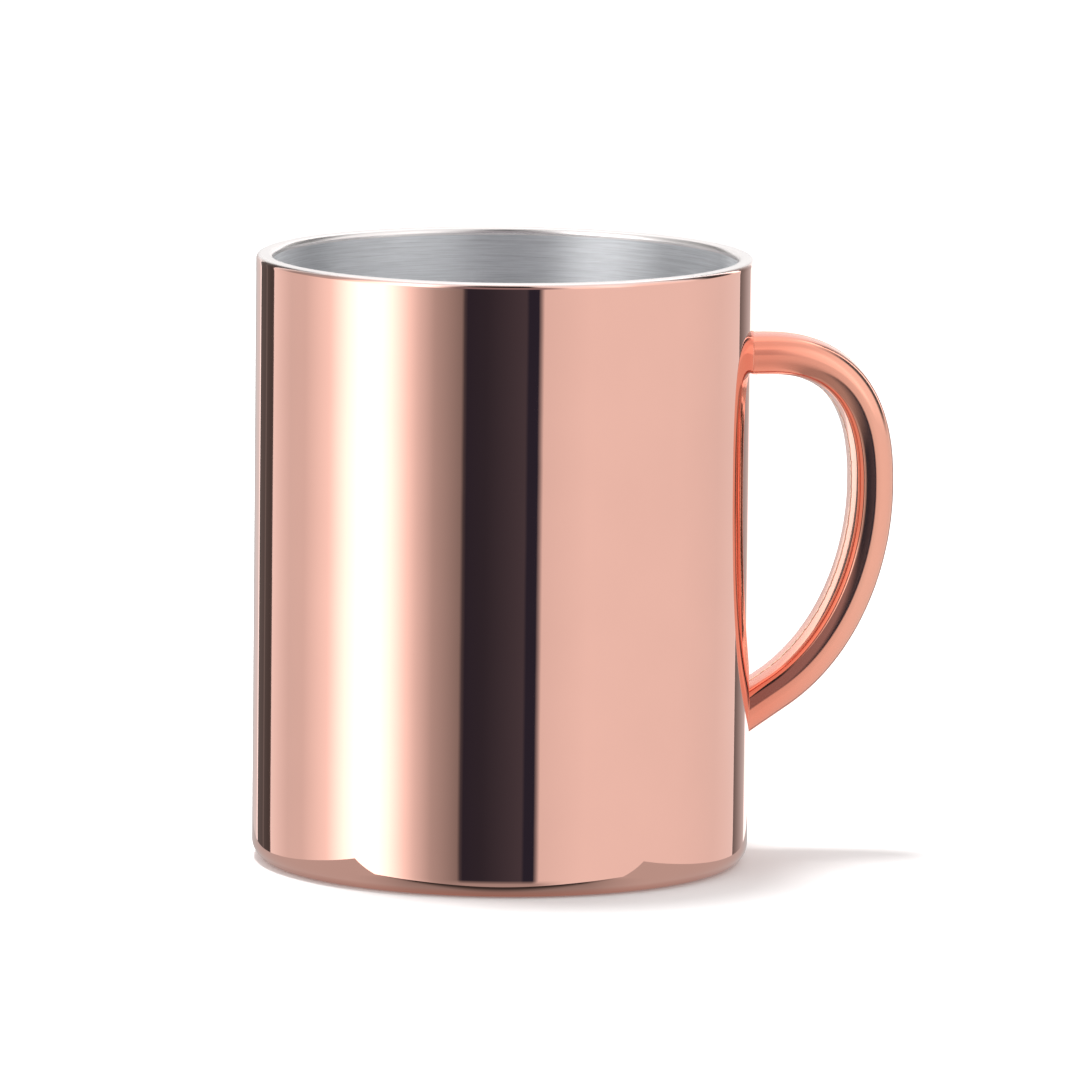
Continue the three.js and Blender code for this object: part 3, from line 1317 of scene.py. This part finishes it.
def pale_floor_material(name):
    material, wiring = new_material(name)
    point = object_point(wiring)
    grain = wiring.noise(point, 900.0, 2.0)
    shader = wiring.add(
        "ShaderNodeBsdfPrincipled",
        {
            "Base Color": wiring.tinted((0.8, 0.8, 0.8), wiring.spread(grain, 0.99, 1.0)),
            "Roughness": 0.9,
            "Specular IOR Level": 0.0,
            "Emission Color": grey(1.0),
            "Emission Strength": 0.1,
        },
    )
    finish_material(wiring, shader)
    return material


class MUG_OT_stage(bpy.types.Operator):
    """Sets the pale floor, the soft studio light and the camera"""

    bl_idname = "mug.stage"
    bl_label = "Stage"

    def execute(self, context):
        stage, cup = context.scene.mug_stage, context.scene.mug_cup
        make_camera(stage)
        studio_world(stage)
        fresh_start()
        bpy.ops.mesh.primitive_plane_add(size=FLOOR_SIZE, location=(0, 0, 0))
        floor = name_it("floor")
        settle(floor)
        floor.data.materials.append(pale_floor_material("pale_floor"))
        floor.visible_glossy = False
        # A glowing sheet seen only in the foot: a painted floor reflection with painted shade and
        # painted bounce light.
        add_floor_reflection(stage, cup)
        add_card("left_flag", stage, cup, -154.5, -134.5, LEFT_FLAG)
        add_card("right_flag", stage, cup, 158, 139.5, RIGHT_FLAG)
        bpy.ops.object.light_add(type="AREA", location=KEY_PLACE)
        key = bpy.context.object
        key.name = "key_light"
        key.data.shape = "DISK"
        key.data.size = KEY_SIZE
        key.data.energy = KEY_ENERGY
        key.visible_glossy = False
        key.rotation_euler = (-Vector(key.location)).to_track_quat("-Z", "Y").to_euler()
        context.scene.view_settings.view_transform = "Standard"
        context.scene.view_settings.look = "None"
        return {"FINISHED"}


class MUG_PT_panel(bpy.types.Panel):
    """Lists the mug's sizes, colours and pieces"""

    bl_idname = "MUG_PT_panel"
    bl_label = "Copper Mug"
    bl_space_type = "VIEW_3D"
    bl_region_type = "UI"
    bl_category = "Copper Mug"

    def draw(self, context):
        scene = context.scene
        for title, group in (
            ("Cup", scene.mug_cup),
            ("Handle", scene.mug_handle),
            ("Finishes", scene.mug_finish),
            ("Stage", scene.mug_stage),
        ):
            box = self.layout.box()
            box.label(text=title)
            for key in group.__annotations__:
                box.prop(group, key)
        column = self.layout.column()
        for maker in PIECE_MAKERS:
            column.operator(maker.bl_idname)


GROUPS = (
    ("mug_cup", CupSizes),
    ("mug_handle", HandleSizes),
    ("mug_finish", Finishes),
    ("mug_stage", StageSizes),
)
PIECE_MAKERS = (
    MUG_OT_stage,
    MUG_OT_outer_shell,
    MUG_OT_inner_liner,
    MUG_OT_lip,
    MUG_OT_base,
    MUG_OT_handle,
    MUG_OT_seams,
    MUG_OT_roots,
)


def register():
    for name, group in GROUPS:
        bpy.utils.register_class(group)
        setattr(bpy.types.Scene, name, bpy.props.PointerProperty(type=group))
    for maker in PIECE_MAKERS:
        bpy.utils.register_class(maker)
    bpy.utils.register_class(MUG_PT_panel)


def unregister():
    bpy.utils.unregister_class(MUG_PT_panel)
    for maker in reversed(PIECE_MAKERS):
        bpy.utils.unregister_class(maker)
    for name, group in reversed(GROUPS):
        delattr(bpy.types.Scene, name)
        bpy.utils.unregister_class(group)


def main():
    register()
    bpy.ops.mug.stage()
    bpy.ops.mug.outer_shell()
    bpy.ops.mug.inner_liner()
    bpy.ops.mug.lip()
    bpy.ops.mug.base()
    bpy.ops.mug.handle()
    bpy.ops.mug.seams()
    bpy.ops.mug.roots()


if __name__ == "__main__":
    main()
